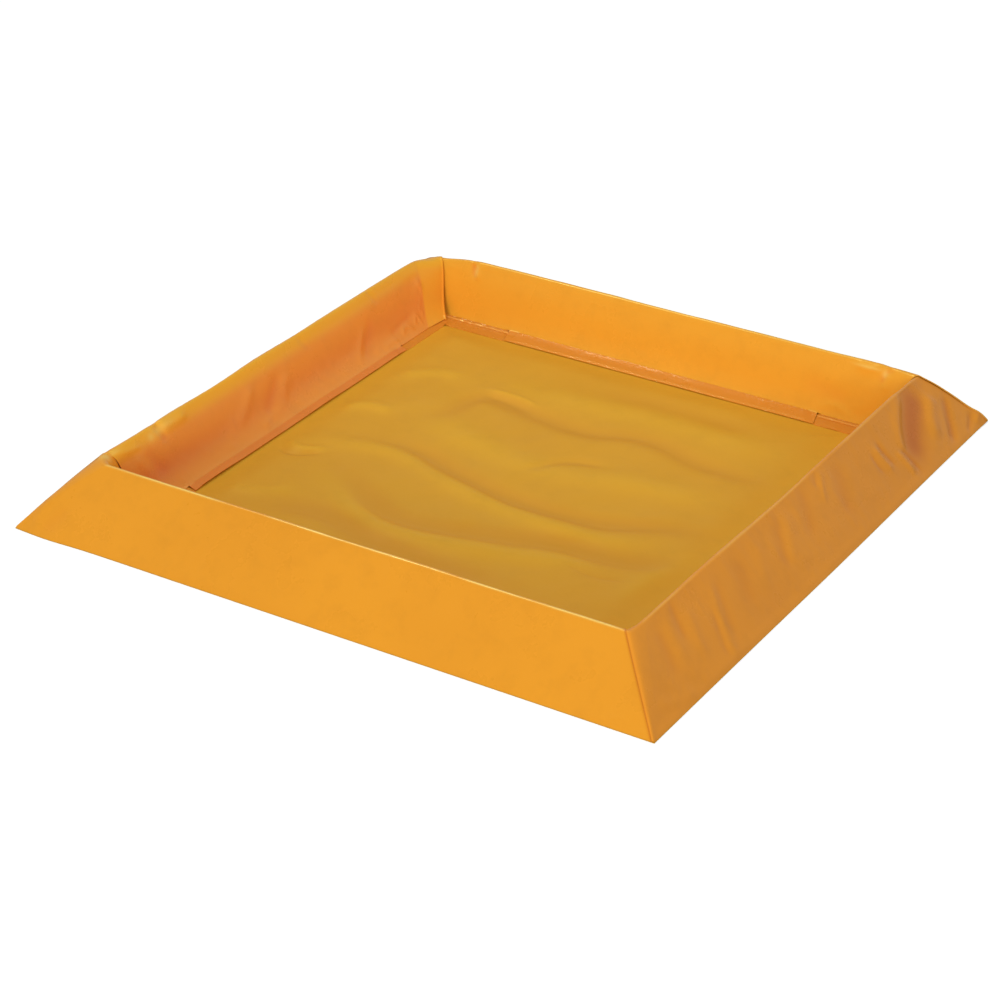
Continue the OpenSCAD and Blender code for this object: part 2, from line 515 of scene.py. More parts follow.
def section(wall):
    """Rows of a cover's cross-section, from the hem over the ridge to the foot: distance in, height, the
    normal, the side it is on and the share up that side."""
    cut = COVERS[wall]
    h = SHEET / 2
    low = liner_top + h
    rows = [(d, low, 0.0, -1.0, "hem", 0.0) for d in np.linspace(HEM, 0.004, 6)]
    r = RIDGE_R - h
    top = ridge_z + r * math.cos(OUTER_A)
    n_in, n_up = -math.sin(OUTER_A), math.cos(OUTER_A)
    for t in np.linspace(0, 1, int(math.hypot(RIDGE_IN, WALL_H) / STEP)):
        z = low + (top - low) * t
        out = cut["belly"] * math.sin(math.pi * t)
        rows.append((outer_in(z, h) + out * n_in, z + out * n_up, n_in, n_up, "outer", t))
    lean = math.radians(cut["round"])
    first = math.pi / 2 + OUTER_A
    turns = 8
    for i in range(1, turns + 1):
        a = first + (lean - first) * i / turns
        c, s = math.cos(a), math.sin(a)
        rows.append((RIDGE_IN + r * c, ridge_z + r * s, c, s, "ridge", i / turns))
    start = np.array([rows[-1][0], rows[-1][1]])
    end = np.array([FOLD_IN + cut["foot"], FLAP_Z])
    down = np.array([math.sin(lean), -math.cos(lean)])
    near = np.array([FOLD_IN - cut["foot"] * 0.2 - cut["tuck"], FLAP_Z])
    line, shares = even(bezier(start, start + down * 0.034, near + (start - near) * 0.12, end), STEP)
    along = np.gradient(line, axis=0)
    along /= np.linalg.norm(along, axis=1)[:, None]
    for (d, z), (x, y), share in list(zip(line, along, shares))[1:]:
        rows.append((d, z, -y, x, "inner", 1 - share))
    return rows


def flap_bend(wall):
    """Where a flap's fabric starts to bend as it opens, and where it has turned in full."""
    foot = COVERS[wall]["foot"]
    return FOLD_IN - 0.0006 - foot * 0.25, FOLD_IN + 0.0018 + min(foot * 0.75, 0.010)


def face_rows(wall, rows, middle, ends):
    """A cover from end to end, row by row, with middle as its flap's columns and a number of columns at each
    end of it: points, points on the plain flat faces, and normals."""
    cut = COVERS[wall]
    points, plain, normals = [], [], []
    for d, z, n_in, n_up, side, t in rows:
        start, _, _ = hip(wall, side, t)
        _, over, lap = hip(next_to(wall), side, t)
        short = over + 0.3 * lap + 0.002  # the cover ends under the other wall's lap
        right = np.linspace(HALF - d - short, middle[0], ends, endpoint=False)
        left = np.linspace(middle[-1], -(HALF - d) + start, ends + 1)[1:]
        xs = np.concatenate([right, middle, left])
        height, flat = z, d
        if side == "inner":  # beside the flap the foot lies lower, on the corner patch
            beside = smooth((np.abs(xs - cut["slide"]) - FLAP_HALF) / 0.012)
            height = z + (TAB_Z - FLAP_Z) * beside * (1 - t) ** 4
            flat = inner_in(z, SHEET / 2)
        points.append(row_of(xs, d, height))
        plain.append(row_of(xs, flat, height))
        normals.append(np.tile((0.0, n_in, n_up), (len(xs), 1)))
    return points, plain, normals


def hip_turn(wall, rows, heights):
    """The turn round a wall's left hip, and the lap on the wall that it meets there, row by row: points,
    normals, and how near each point is to the lap's welded edge."""
    points, normals, seam = [], [], []
    for (d, _, n_in, n_up, side, t), height in zip(rows, heights):
        start, over, lap = hip(wall, side, t)
        corner = np.array([-(HALF - d), d])
        edge = SEAM_LIFT[wall] * (0.35 + 0.65 * (1 - t)) if side == "inner" else SEAM_LIFT[wall] * 0.5
        a, c = corner + [start, 0], corner + [0, over]
        outer_cut, inner_cut = HIP_CUT[wall]
        cut_in = {"outer": 0, "ridge": t, "inner": 1}[side]
        b = corner + ((a + c) / 2 - corner) * (outer_cut + (inner_cut - outer_cut) * cut_in)
        for k in range(1, TURN_STEPS + 1):
            s = k / TURN_STEPS
            x, y = (1 - s) ** 2 * a + 2 * s * (1 - s) * b + s * s * c
            n = np.array([n_in * math.sin(math.pi / 2 * s), n_in * math.cos(math.pi / 2 * s), n_up])
            n /= np.linalg.norm(n)
            points.append(np.array([x, y, height]) + n * LAP_LIFT * smooth(s))
            normals.append(n)
            seam.append(0.0)
        n = np.array([n_in, 0, n_up])
        for k in range(1, LAP_STEPS + 1):
            p = np.array([corner[0], c[1] + lap * k / LAP_STEPS, height])
            points.append(p + n * (LAP_LIFT + edge * (k / LAP_STEPS) ** 2))
            normals.append(n)
            seam.append(max(0.0, 1 - (LAP_STEPS - k) * lap / LAP_STEPS / SEAM_WIDTH))
    return points, normals, seam


def split_faces(wall, rows, columns, ends, flap_columns):
    """The faces of a cover's grid, and those that belong to its flap's piece, which starts a little above its
    fold line and is cut free at its two ends."""
    start = flap_bend(wall)[0] - 0.001
    split = [row[4] == "inner" and row[0] > start for row in rows].index(True) - 1
    faces, flap_faces = [], []
    for k, face in enumerate(grid_faces(0, len(rows), columns)):
        row, column = divmod(k, columns - 1)
        with_flap = row >= split and ends <= column < ends + flap_columns - 1
        (flap_faces if with_flap else faces).append(face)
    return faces, flap_faces


def cover_mesh(wall):
    """A cover and its flap as one middle surface at rest: points, points on the plain flat faces, normals,
    faces of the cover and of its flap, which points are on the flap, the hem and the turn round the hip, how
    near each is to a welded seam and to the ridge line, and the number of rows and columns."""
    rows = section(wall)
    cut = COVERS[wall]
    hem_rows = sum(row[4] == "hem" for row in rows)
    middle = np.linspace(FLAP_HALF, -FLAP_HALF, int(2 * FLAP_HALF / STEP) + 1) + cut["slide"]
    ends = int((HALF - FLAP_HALF) / STEP)
    points, plain, normals = face_rows(wall, rows, middle, ends)
    columns = len(points[0])
    faces, flap_faces = split_faces(wall, rows, columns, ends, len(middle))

    # the turn round the left hip, and the lap
    heights = [row[-1, 2] for row in points[hem_rows:]]
    turn_points, turn_normals, seam = hip_turn(wall, rows[hem_rows:], heights)
    first = len(rows) * columns
    width = TURN_STEPS + LAP_STEPS
    faces += grid_faces(first, len(rows) - hem_rows, width)
    for i in range(hem_rows, len(rows) - 1):
        a = i * columns + columns - 1
        b = first + (i - hem_rows) * width
        faces.append((a, b, b + width, a + columns))

    # the flap, from its fold line to its free edge
    fold_in = rows[-1][0]
    flap_rows = int((FLAP_TIP - fold_in) / FLAP_STEP) + 1
    flap_points = []
    for t in (i / flap_rows for i in range(1, flap_rows + 1)):
        flap_points.append(row_of(middle + cut["slant"] * t, fold_in + (FLAP_TIP - fold_in) * t, FLAP_Z))
    base = first + len(turn_points)
    flap_faces += grid_faces(base, flap_rows, len(middle))
    for j in range(len(middle) - 1):
        a = (len(rows) - 1) * columns + ends + j
        flap_faces.append((a, a + 1, base + j + 1, base + j))
    flap_normals = np.tile((0.0, 0.0, 1.0), (flap_rows * len(middle), 1))

    points = np.concatenate([*points, turn_points, *flap_points])
    number = np.arange(len(points))
    seam_mark, ridge = np.zeros(len(points)), np.zeros(len(points))
    seam_mark[first:base] = seam
    # painted highlight along the middle of the turn over the ridge
    for i, row in enumerate(rows):
        if row[4] == "ridge":
            ridge[i * columns : (i + 1) * columns] = math.exp(-(((row[5] - 0.42) / 0.2) ** 2))
    return {
        "points": points,
        "plain": np.concatenate([*plain, turn_points, *flap_points]),
        "normals": np.concatenate([*normals, turn_normals, flap_normals]),
        "faces": faces,
        "flap_faces": flap_faces,
        "is_flap": number >= base,
        "is_hem": number < hem_rows * columns,
        "on_turn": (number >= first) & (number < base),
        "seam": seam_mark,
        "ridge": ridge,
        "block": (len(rows), columns),
    }


SEAM_LIFT = by_wall(0.0010, 0.0016, 0.0004, 0.0006)  # at a lap's free edge
SEAM_WIDTH = 0.0018  # of the seam's dark line at a lap's free edge, a weld's mark and painted shade, from that edge
LAP_SHADE_WIDTH = 0.0026  # of the painted shade beside a lap's raised edge, on the cover under it
PAINTED_GLINTS = [  # painted glints: pale spots where highlights fall, as (centre, reach, how pale), in millimetres
    ((-506, -492, 106), (7, 9, 6), 0.9),
    ((-505, -470, 107), (5, 16, 3), 0.5),
    ((-503, -345, 101), (12, 34, 7), 0.45),
    ((-503, -374, 97), (8, 9, 7), 0.6),
    ((-402, 500, 94), (5, 12, 9), 0.7),
    ((452, 502, 98), (5, 12, 7), 0.6),
    ((420, 503, 102), (26, 12, 2.5), 0.5),
]
RIDGE_HIGHLIGHT = by_wall(0.85, 0.25, 0.6, 0.4)  # how strong the painted highlight along each ridge is
SEAM_AND_SHADE_MARK = by_wall(0.3, 1.0, 0.1, 0.7)  # how plain its seam's dark line is: a weld's mark and painted shade
SHADE_DEPTH = by_wall(0.006, 0.0085, 0.006, 0.008)  # a fold this deep gets the darkest painted shade
FLAP_SHADE = by_wall(0.35, 0.35, 0.7, 0.35)  # painted shade on a flap, which lies at its wall's foot
CLOTH_FRAMES = 20
CLOTH_STRIDE = 4  # points of the fabric's mesh to one of the cloth simulation's
SLACK = by_wall(0.001, 0.0015, 0.001, 0.003)  # how much too large a cover is
SETTLED = by_wall(0.4, 0.4, 0.4, 0.6)  # share of its settling that a cover keeps
UNEVEN = by_wall(0.22, 0.6, 0.3, 0.5)  # in millimetres
FLAP_WAVES = by_wall(0.5, 0.6, 0.3, 0.7)  # in millimetres
FREE_ABOVE = 0.014  # the fabric is held at the base, and free from this height up
FLAP_REACH, ROOM_RISE = 0.036, 0.04  # up to where an opened flap lies, and over which height folds come back
ROOM, FOLD_ROOM = 0.0003, 0.02  # how far folds can stand out on the inner face, behind the flap and above it


def flap_lift(wall, points, world):
    """How far a flap's middle surface stands above its place: small waves, and a free edge turned down."""
    share = np.clip((points[:, 1] - FOLD_IN) / (FLAP_TIP - FOLD_IN), 0, 1)
    wave = ripples(world * [1, 1, 0], 31 + WALLS.index(wall), 8, FLAP_WAVES[wall] / 1000, 0.09, 0.3)
    lift = np.abs(wave) * 1.2 * share**1.5
    past_strip = smooth((points[:, 1] - (FLAP_TIP - 0.0070)) / 0.0070)
    down = 0.0014 * past_strip
    if wall == "left":  # its front end has come off the floor a little
        raised = smooth((points[:, 0] - 0.10) / 0.2)
        lift += 0.0008 * raised * share**1.3
        down *= 0.2
    along = np.abs(points[:, 0] - COVERS[wall]["slide"] - COVERS[wall]["slant"] * share)
    past_end = smooth((along - (FLAP_HALF - 0.026)) / 0.022)
    down = np.maximum(down, 0.0013 * past_end * smooth(share * 4))
    return lift * (1 - 0.8 * past_end) - down


def surface_normals(points, faces):
    """Normals at the points of a surface, as its smooth shading has them."""
    whole = new_mesh("surface", points, faces)
    normals = np.empty(len(points) * 3)
    whole.data.vertex_normals.foreach_get("vector", normals)
    bpy.data.meshes.remove(whole.data)
    return normals.reshape(-1, 3)


def cut_out(name, points, faces, marks, material, normals, border):
    """One piece of a surface: the given faces, thickened. At the border with the next piece it is shaded with
    the whole surface's normals, so that the cut doesn't show while it is closed."""
    faces = np.array(faces)
    used = np.unique(faces)
    number = np.zeros(len(points), int)
    number[used] = np.arange(len(used))
    piece = new_mesh(name, points[used], number[faces].tolist(), material)
    for key, values in marks.items():
        mark(piece, key, values[used])
    thicken(piece)
    mesh = piece.data
    corners, counts = np.empty(len(mesh.loops), int), np.empty(len(mesh.polygons), int)
    facing = np.empty(len(mesh.polygons) * 3)
    mesh.loops.foreach_get("vertex_index", corners)
    mesh.polygons.foreach_get("loop_total", counts)
    mesh.polygons.foreach_get("normal", facing)
    normal = normals[used][corners % len(used)]
    side = (np.repeat(facing.reshape(-1, 3), counts, axis=0) * normal).sum(1)
    at_border = np.isin(used, border)[corners % len(used)] & (np.abs(side) > 0.6)
    mesh.normals_split_custom_set((normal * (np.sign(side) * at_border)[:, None]).tolist())
    return piece


def settle(wall, points, normals, held, foam):
    """Lets a coarse copy of a cover lie down over its foam as cloth, and gives how far each of its points
    moved along its normal. points, normals: rows by columns by 3. held: which points are pinned."""
    shape = held.shape
    cloth_mesh = new_mesh("settling", points.reshape(-1, 3), grid_faces(0, *shape))
    pins = cloth_mesh.vertex_groups.new(name="held")
    pins.add(np.flatnonzero(held).tolist(), 1.0, "REPLACE")
    cloth = cloth_mesh.modifiers.new("cloth", "CLOTH")
    cloth.point_cache.frame_start, cloth.point_cache.frame_end = 1, CLOTH_FRAMES
    cloth.settings.vertex_group_mass = "held"
    cloth.settings.quality = 6
    cloth.settings.mass = 0.12
    cloth.settings.tension_stiffness = cloth.settings.compression_stiffness = 25
    cloth.settings.shear_stiffness = 12
    cloth.settings.bending_stiffness = 0.6
    cloth.settings.air_damping = 2
    cloth.settings.shrink_min = -SLACK[wall]
    cloth.collision_settings.distance_min = 0.0015
    foam.modifiers.new("collision", "COLLISION")
    foam.collision.thickness_outer, foam.collision.thickness_inner = 0.001, 0.003
    for frame in range(1, CLOTH_FRAMES + 1):
        bpy.context.scene.frame_set(frame)
    graph = bpy.context.evaluated_depsgraph_get()
    settled = cloth_mesh.evaluated_get(graph).to_mesh()
    after = np.empty(len(settled.vertices) * 3)
    settled.vertices.foreach_get("co", after)
    cloth_mesh.evaluated_get(graph).to_mesh_clear()
    bpy.context.scene.frame_set(1)
    bpy.data.objects.remove(cloth_mesh)
    foam.modifiers.clear()
    moved = (after.reshape(*shape, 3) - points) * normals
    return np.clip(moved.sum(2), -DEEPEST, DEEPEST)


def cloth_unevenness(wall, mesh, world, out, foam):
    """How far a cover's points move as the fabric settles over its foam; none on the turn and on the flap."""
    rows, columns = mesh["block"]
    block = rows * columns
    picked_rows = np.unique(np.linspace(0, rows - 1, rows // CLOTH_STRIDE).astype(int))
    picked_columns = np.unique(np.linspace(0, columns - 1, columns // CLOTH_STRIDE).astype(int))
    pick = np.ix_(picked_rows, picked_columns)
    grid, normals = (a[:block].reshape(rows, columns, 3)[pick] for a in (world, out))
    height = mesh["points"][:block, 2].reshape(rows, columns)[pick]
    held = (height < 0.009) | (height > WALL_H - 0.004)
    held[:, [0, -1]] = held[[0, -1], :] = True
    moved = settle(wall, grid, normals, held, foam)
    by_column = np.array([np.interp(np.arange(columns), picked_columns, row) for row in moved])
    fine = np.array([np.interp(np.arange(rows), picked_rows, column) for column in by_column.T]).T
    total = np.zeros(len(world))
    total[:block] = fine.ravel()
    return total


def laid_cover(wall, mesh, world, folds, loose, foam):
    """A cover's and its flap's points as they lie, with folds, small waves, settling, sags and lifts."""
    points, is_flap = mesh["points"], mesh["is_flap"]
    out = turn(wall, mesh["normals"])
    amount = folds + ripples(world, 11 + WALLS.index(wall), 14, UNEVEN[wall] / 1000, 0.05, 0.22)
    amount += SETTLED[wall] * cloth_unevenness(wall, mesh, world, out, foam)
    amount = np.where(amount < 0, -DEEPEST * np.tanh(-amount / DEEPEST), amount)  # the foam is behind it
    if COVERS[wall]["tuck"]:  # low on the inner face nothing stands out, where the opened flap lies
        room = ROOM + FOLD_ROOM * smooth((points[:, 2] - FLAP_REACH) / ROOM_RISE)
        amount = np.where(points[:, 1] > RIDGE_IN, np.minimum(amount, room), amount)
    moved = world + out * (amount * loose)[:, None]
    moved[:, 2] += np.where(is_flap, flap_lift(wall, points, world), 0)
    moved = np.where(is_flap[:, None], moved, sagged(moved))
    moved[:, 2] = np.maximum(moved[:, 2], liner_top + SHEET / 2)
    return moved


def lap_edge_shade(wall, points):
    """Painted shade beside the seam of the lap that lies on a cover's right end: how near points of its outer
    face are to that seam.
    """
    _, over, lap = np.array([hip(next_to(wall), "outer", t) for t in (0, 1)]).T
    up = np.clip((points[:, 2] - liner_top) / (ridge_z - liner_top), 0, 1)
    over_here = over[0] + (over[1] - over[0]) * up + lap[0] + (lap[1] - lap[0]) * up
    beside = (HALF - points[:, 1] - points[:, 0]) - over_here
    return np.exp(-((beside / LAP_SHADE_WIDTH) ** 2)) * (points[:, 1] < RIDGE_IN)


def cover_marks(wall, mesh, world, folds, loose, free):
    """What the coating's colour follows at each point: seams with painted shade beside laps, painted
    highlights, painted shade in hollows, and painted light.
    """
    points = mesh["points"]
    lap_shade = lap_edge_shade(wall, points) * free
    seam = np.maximum(mesh["seam"] * SEAM_AND_SHADE_MARK[wall], lap_shade * SEAM_AND_SHADE_MARK[next_to(wall)])
    # painted highlights: along the ridge in patches, and at the painted glints
    highlight_patches = 0.6 + ripples(world, 51 + WALLS.index(wall), 10, 0.5, 0.03, 0.3)
    painted_highlight = mesh["ridge"] * np.clip(highlight_patches, 0, 1) * RIDGE_HIGHLIGHT[wall]
    for centre, reach, pale in PAINTED_GLINTS:
        away = np.linalg.norm((world - np.array(centre) / 1000) / (np.array(reach) / 1000), axis=1)
        painted_highlight = np.maximum(painted_highlight, pale * np.exp(-away * away))
    # painted shade in the folds' valleys and on the flap
    shade_amount = np.clip(-folds / SHADE_DEPTH[wall], 0, 1) * loose + FLAP_SHADE[wall] * mesh["is_flap"]
    painted_light = np.zeros(len(points))
    if wall == "left":  # painted light on its rounded top and on its turn round the hip, and painted shade in its middle, most of all toward the front
        face = free & (points[:, 1] > RIDGE_IN)
        up_face = np.clip((points[:, 2] - FLAP_Z) / (WALL_H - FLAP_Z), 0, 1)
        painted_light = smooth((up_face - 0.70) / 0.26) * face * 0.75
        near = 0.35 + 0.45 * smooth((points[:, 0] - 0.15) / 0.3)
        shade_amount += near * np.exp(-(((up_face - 0.34) / 0.20) ** 2)) * face
        painted_light = np.maximum(painted_light, mesh["on_turn"] * face * 0.5)
    return {"seam": seam, "ridge": painted_highlight, "painted_shade": np.clip(shade_amount, 0, 1), "painted_light": painted_light}


def make_cover(wall, material, foam):
    """A wall's cover and its flap: two pieces of one surface."""
    mesh = cover_mesh(wall)
    faces, flap_faces = mesh["faces"], mesh["flap_faces"]
    world = to_frame(wall, mesh["points"])
    folds = folded(to_frame(wall, mesh["plain"]), COVER_FOLDS)
    free = ~mesh["is_flap"] & ~mesh["is_hem"]
    loose = smooth(mesh["points"][:, 2] / FREE_ABOVE) * free
    moved = laid_cover(wall, mesh, world, folds, loose, foam)
    marks = cover_marks(wall, mesh, world, folds, loose, free)
    normals = surface_normals(moved, faces + flap_faces)
    border = np.intersect1d(np.unique(faces), np.unique(flap_faces))

    cover = cut_out(f"wall_cover_{wall}_fabric", moved, faces, marks, material, normals, border)
    stand_in(cover, "tray", "coated_fabric", f"wall_cover_{wall}", f"corner_lap_{wall}")

    flap = cut_out(f"access_flap_{wall}_fabric", moved, flap_faces, marks, material, normals, border)
    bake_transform(flap)
    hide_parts(f"access_flap_{wall}")


# --- floor sheet ---


FLOOR_LIFT = 0.0072  # how high the loose middle of the floor lies, so that its valleys have room
FLOOR_SOFT = 0.0012  # how softly a valley comes to rest on the ground
LOOSE_OVER = 0.07  # from where the sheet lies flat to where it is quite loose


def make_liner(material):
    n = int(2 * HALF / STEP) + 1
    line = np.linspace(-HALF, HALF, n)
    x, y = np.meshgrid(line, line)
    flat = np.stack([x.ravel(), y.ravel(), np.full(n * n, SHEET / 2)], axis=1)
    faces = grid_faces(0, n, n)
    # the sheet lies flat under the walls, the flaps and their strips, and is loose inside them
    inside = HALF - np.abs(flat[:, :2]).max(1) - (hook_high.y + HALF)
    loose = smooth(inside / LOOSE_OVER)
    folds = folded(flat * [1, 1, 0] + [0, 0, liner_top], FLOOR_FOLDS)
    amount = FLOOR_LIFT + folds
    amount += ripples(flat * [1, 1, 0], 5, 16, 0.0009, 0.05, 0.22)
    amount = np.log1p(np.exp(amount / FLOOR_SOFT)) * FLOOR_SOFT  # never below the ground
    raised = flat.copy()
    raised[:, 2] += amount * loose
    raised = sagged(raised)
    raised[:, 2] = np.maximum(raised[:, 2], SHEET / 2)
    piece = new_mesh("base_liner_fabric", raised, faces, material)
    # painted shade: deeper in the floor's valleys, none on its crests, and none near the walls, where the
    # paler colour offsets the walls' shade
    mark(piece, "painted_shade", (0.4 - 0.5 * np.tanh(folds / 0.0045)) * loose)
    thicken(piece)
    stand_in(piece, "tray", "coated_fabric", "base_liner")


# --- corner patches and welded feet ---

PATCH_OUT = 0.044  # how far a patch runs out over the floor
PATCH_SHEET = SHEET * 0.9  # thickness of a patch and of a welded foot
TAB_OUT = 0.015  # width of a cover's foot that is welded down beside the flap
END_GAP = 0.0012  # between a flap's end and the patch


def corner_ends(wall):
    """How far from the outer edges a corner's pieces end, on the wall and on the one that it meets."""
    other = WALLS[WALLS.index(wall) - 1]
    own = HALF - FLAP_HALF + COVERS[wall]["slide"] - END_GAP
    next_one = HALF - FLAP_HALF - COVERS[other]["slide"] - END_GAP
    return (own, COVERS[wall]["slant"]), (next_one, -COVERS[other]["slant"])


def corner_sheet(wall, rows, step=0.003):
    """An L-shaped sheet round the inner corner at a wall's left end. rows: distance in from the wall's outer
    edge, height, and share of the flap's slant at the sheet's ends."""
    (own, own_slant), (other, other_slant) = corner_ends(wall)
    n = int((own - WALL_W) / step)
    points = []
    for d, z, share in rows:
        for a in np.linspace(own + own_slant * share, d, n):
            points.append((a - HALF, d, z))
        for a in np.linspace(d, other + other_slant * share, n)[1:]:
            points.append((d - HALF, a, z))
    return np.array(points), grid_faces(0, len(rows), 2 * n - 1)


def corner_piece(node, world, faces, material):
    piece = new_mesh(f"{node}_fabric", world, faces, material)
    thicken(piece, PATCH_SHEET)
    stand_in(piece, "tray", "coated_fabric", node)
    return piece


def make_patch(wall, material):
    """The patch on the floor, in the inner corner at the left end of a wall."""
    foot = WALL_W + 0.0012
    rows = [(foot + s, liner_top + SHEET / 2, s / PATCH_OUT) for s in np.linspace(0, PATCH_OUT, 15)]
    points, faces = corner_sheet(wall, rows)
    world = to_frame(wall, points)
    uneven = ripples(world, 71 + WALLS.index(wall), 10, 0.0004, 0.02, 0.08)
    share = (points[:, 1] - foot) / PATCH_OUT
    world[:, 2] += np.abs(uneven) * smooth(np.clip(share, 0, 1))
    inner = np.array([foot + PATCH_OUT - HALF, foot + PATCH_OUT])  # its loose inner corner
    away = np.linalg.norm(points[:, :2] - inner, axis=1)
    world[:, 2] += 0.0022 * np.exp(-((away / 0.0045) ** 2))
    piece = corner_piece(f"floor_patch_{wall}", world, faces, material)


def make_foot_tab(wall, material):
    """The strip of two covers' feet that is welded on a corner patch, from one flap's end to the next."""
    start = WALL_W - 0.0004
    rows = [(start + s, TAB_Z, s / PATCH_OUT) for s in np.linspace(0, TAB_OUT, 13)]
    points, faces = corner_sheet(wall, rows)
    world = to_frame(wall, points)
    share = np.clip((np.minimum(points[:, 1], points[:, 0] + HALF) - start) / TAB_OUT, 0, 1)
    pucker = ripples(world, 91 + WALLS.index(wall), 12, 0.0007, 0.012, 0.04)
    bead = 0.0010 * np.exp(-(((share - 0.78) / 0.13) ** 2))
    world[:, 2] += (np.abs(pucker) * share + bead) * (1 - smooth((share - 0.85) / 0.15))
    world[:, 2] -= 0.0003 * (1 - share) + 0.0004 * smooth((share - 0.8) / 0.2)
    piece = corner_piece(f"foot_tab_{wall}", world, faces, material)


# --- foam ---


FOAM_INSET = 0.006  # from the cover's outside to the foam
FOAM_EDGE = 0.004  # height of the softened top edge


def make_foam(wall, material):
    """A foam wedge, a little smaller than its cover all round, with softened edges."""
    low, high = foam_low.z, ridge_z - FOAM_EDGE
    outline = [(outer_in(z, FOAM_INSET), z) for z in np.linspace(low, high, 9)]
    for a in np.linspace(math.pi / 2 + OUTER_A, math.pi / 2 - INNER_A, 5)[1:-1]:
        outline.append((RIDGE_IN + 0.001 * math.cos(a), ridge_z - 0.003 + 0.001 * math.sin(a)))
    outline += [(inner_in(z, FOAM_INSET), z) for z in np.linspace(high, low, 9)]
    underside = np.linspace(inner_in(low, FOAM_INSET), outer_in(low, FOAM_INSET), 8)[1:-1]
    outline += [(d, low) for d in underside]
    rows = []
    for d, z in outline:
        half = HALF - d - 0.002
        rows.append(row_of(np.linspace(-half, half, 90), d, z))
    points, faces = closed_bar(rows)
    world = sagged(to_frame(wall, points))
    world[:, 2] = np.maximum(world[:, 2], low)
    piece = new_mesh(f"foam_{wall}", world, faces, material)
    shade(piece, 35)
    stand_in(piece, "tray", "foam", f"foam_wedge_{wall}")
    return piece


# --- hook and loop strips ---

STRIP_INSET = 0.006  # free edge of a flap to its strip
STRIP_EDGE = 0.00035  # size of a strip's softened edges


def make_strip(node, wall, body, material):
    """One strip of a flap's closure: a flat band with softened edges that follows the flap."""
    low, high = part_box(node)
    thick = high.z - low.z
    wide = min(high.x - low.x, high.y - low.y)
    long = max(high.x - low.x, high.y - low.y)
    first = FLAP_TIP - STRIP_INSET - wide
    e = STRIP_EDGE
    outline = [(0, e), (0, thick - e), (e, thick), (wide - e, thick)]
    outline += [(wide, thick - e), (wide, e), (wide - e, 0), (e, 0)]
    rows = []
    for d, z in outline:
        share = (first + d - FOLD_IN) / (FLAP_TIP - FOLD_IN)
        along = np.linspace(-long / 2, long / 2, 80) + COVERS[wall]["slide"] + COVERS[wall]["slant"] * share
        rows.append(row_of(along, first + d, low.z + z))
    points, faces = closed_bar(rows)
    piece = new_mesh(f"{node}_pile", to_frame(wall, points), faces, material)
    shade(piece, 35)
    stand_in(piece, body, "closure", node)


# --- materials ---


def node_tree(name):
    material = bpy.data.materials.new(name)
    material.use_nodes = True
    nodes, links = material.node_tree.nodes, material.node_tree.links
    return material, nodes, links, nodes["Principled BSDF"]


def own_place(nodes):
    """The place on the piece, in its own coordinates."""
    return nodes.new("ShaderNodeTexCoord").outputs["Object"]


def marked(nodes, name):
    """A value that mark() stored."""
    n = nodes.new("ShaderNodeAttribute")
    n.attribute_name = name
    return n.outputs["Fac"]


def cells(nodes, links, scale):
    n = nodes.new("ShaderNodeTexVoronoi")
    n.inputs["Scale"].default_value = scale
    links.new(own_place(nodes), n.inputs["Vector"])
    return n.outputs["Distance"]


def combine(nodes, links, operation, a, b):
    """Two values added or multiplied; the second can be a number."""
    n = nodes.new("ShaderNodeMath")
    n.operation = operation
    links.new(a, n.inputs[0])
    if isinstance(b, bpy.types.NodeSocket):
        links.new(b, n.inputs[1])
    else:
        n.inputs[1].default_value = b
    return n.outputs[0]


def noise(nodes, links, where, scale, detail=3.0, rough=0.5):
    n = nodes.new("ShaderNodeTexNoise")
    n.inputs["Scale"].default_value = scale
    n.inputs["Detail"].default_value = detail
    n.inputs["Roughness"].default_value = rough
    links.new(where, n.inputs["Vector"])
    return n.outputs["Fac"]


def remap(nodes, links, value, low, high, from_low=0.3, from_high=0.7):
    n = nodes.new("ShaderNodeMapRange")
    n.inputs["From Min"].default_value = from_low
    n.inputs["From Max"].default_value = from_high
    n.inputs["To Min"].default_value = low
    n.inputs["To Max"].default_value = high
    links.new(value, n.inputs["Value"])
    return n.outputs["Result"]


def mix_colours(nodes, links, share, a, b):
    n = nodes.new("ShaderNodeMix")
    n.data_type = "RGBA"
    links.new(share, n.inputs["Factor"])
    for socket, value in ((n.inputs[6], a), (n.inputs[7], b)):
        if isinstance(value, bpy.types.NodeSocket):
            links.new(value, socket)
        else:
            socket.default_value = (*value, 1)
    return n.outputs[2]


def threads(nodes, links, where, direction, pitch):
    """The ribs of the woven scrim under the coating, running across one direction."""
    n = nodes.new("ShaderNodeTexWave")
    n.wave_type = "BANDS"
    n.bands_direction = direction
    n.inputs["Scale"].default_value = 0.314 / pitch  # Blender's bands repeat every 2 pi / (20 scale)
    n.inputs["Distortion"].default_value = 0.0
    links.new(where, n.inputs["Vector"])
    return n.outputs["Fac"]


def bump(nodes, links, height, distance, strength, under=None):
    n = nodes.new("ShaderNodeBump")
    n.inputs["Distance"].default_value = distance
    n.inputs["Strength"].default_value = strength
    links.new(height, n.inputs["Height"])
    if under is not None:
        links.new(under, n.inputs["Normal"])
    return n.outputs["Normal"]


# the seams' dark line: a weld's mark, and painted shade at and beside a lap's raised edge
SEAM_AND_SHADE_COLOUR = (0.64, 0.165, 0.012)
# colour of the painted highlights on the ridges and at the painted glints
PAINTED_HIGHLIGHT_COLOUR = (0.97, 0.66, 0.16)
# colour of the painted light on the left wall's top and hip turn
PAINTED_LIGHT_COLOUR = (0.95, 0.46, 0.02)
THREAD_PITCH = 0.0013


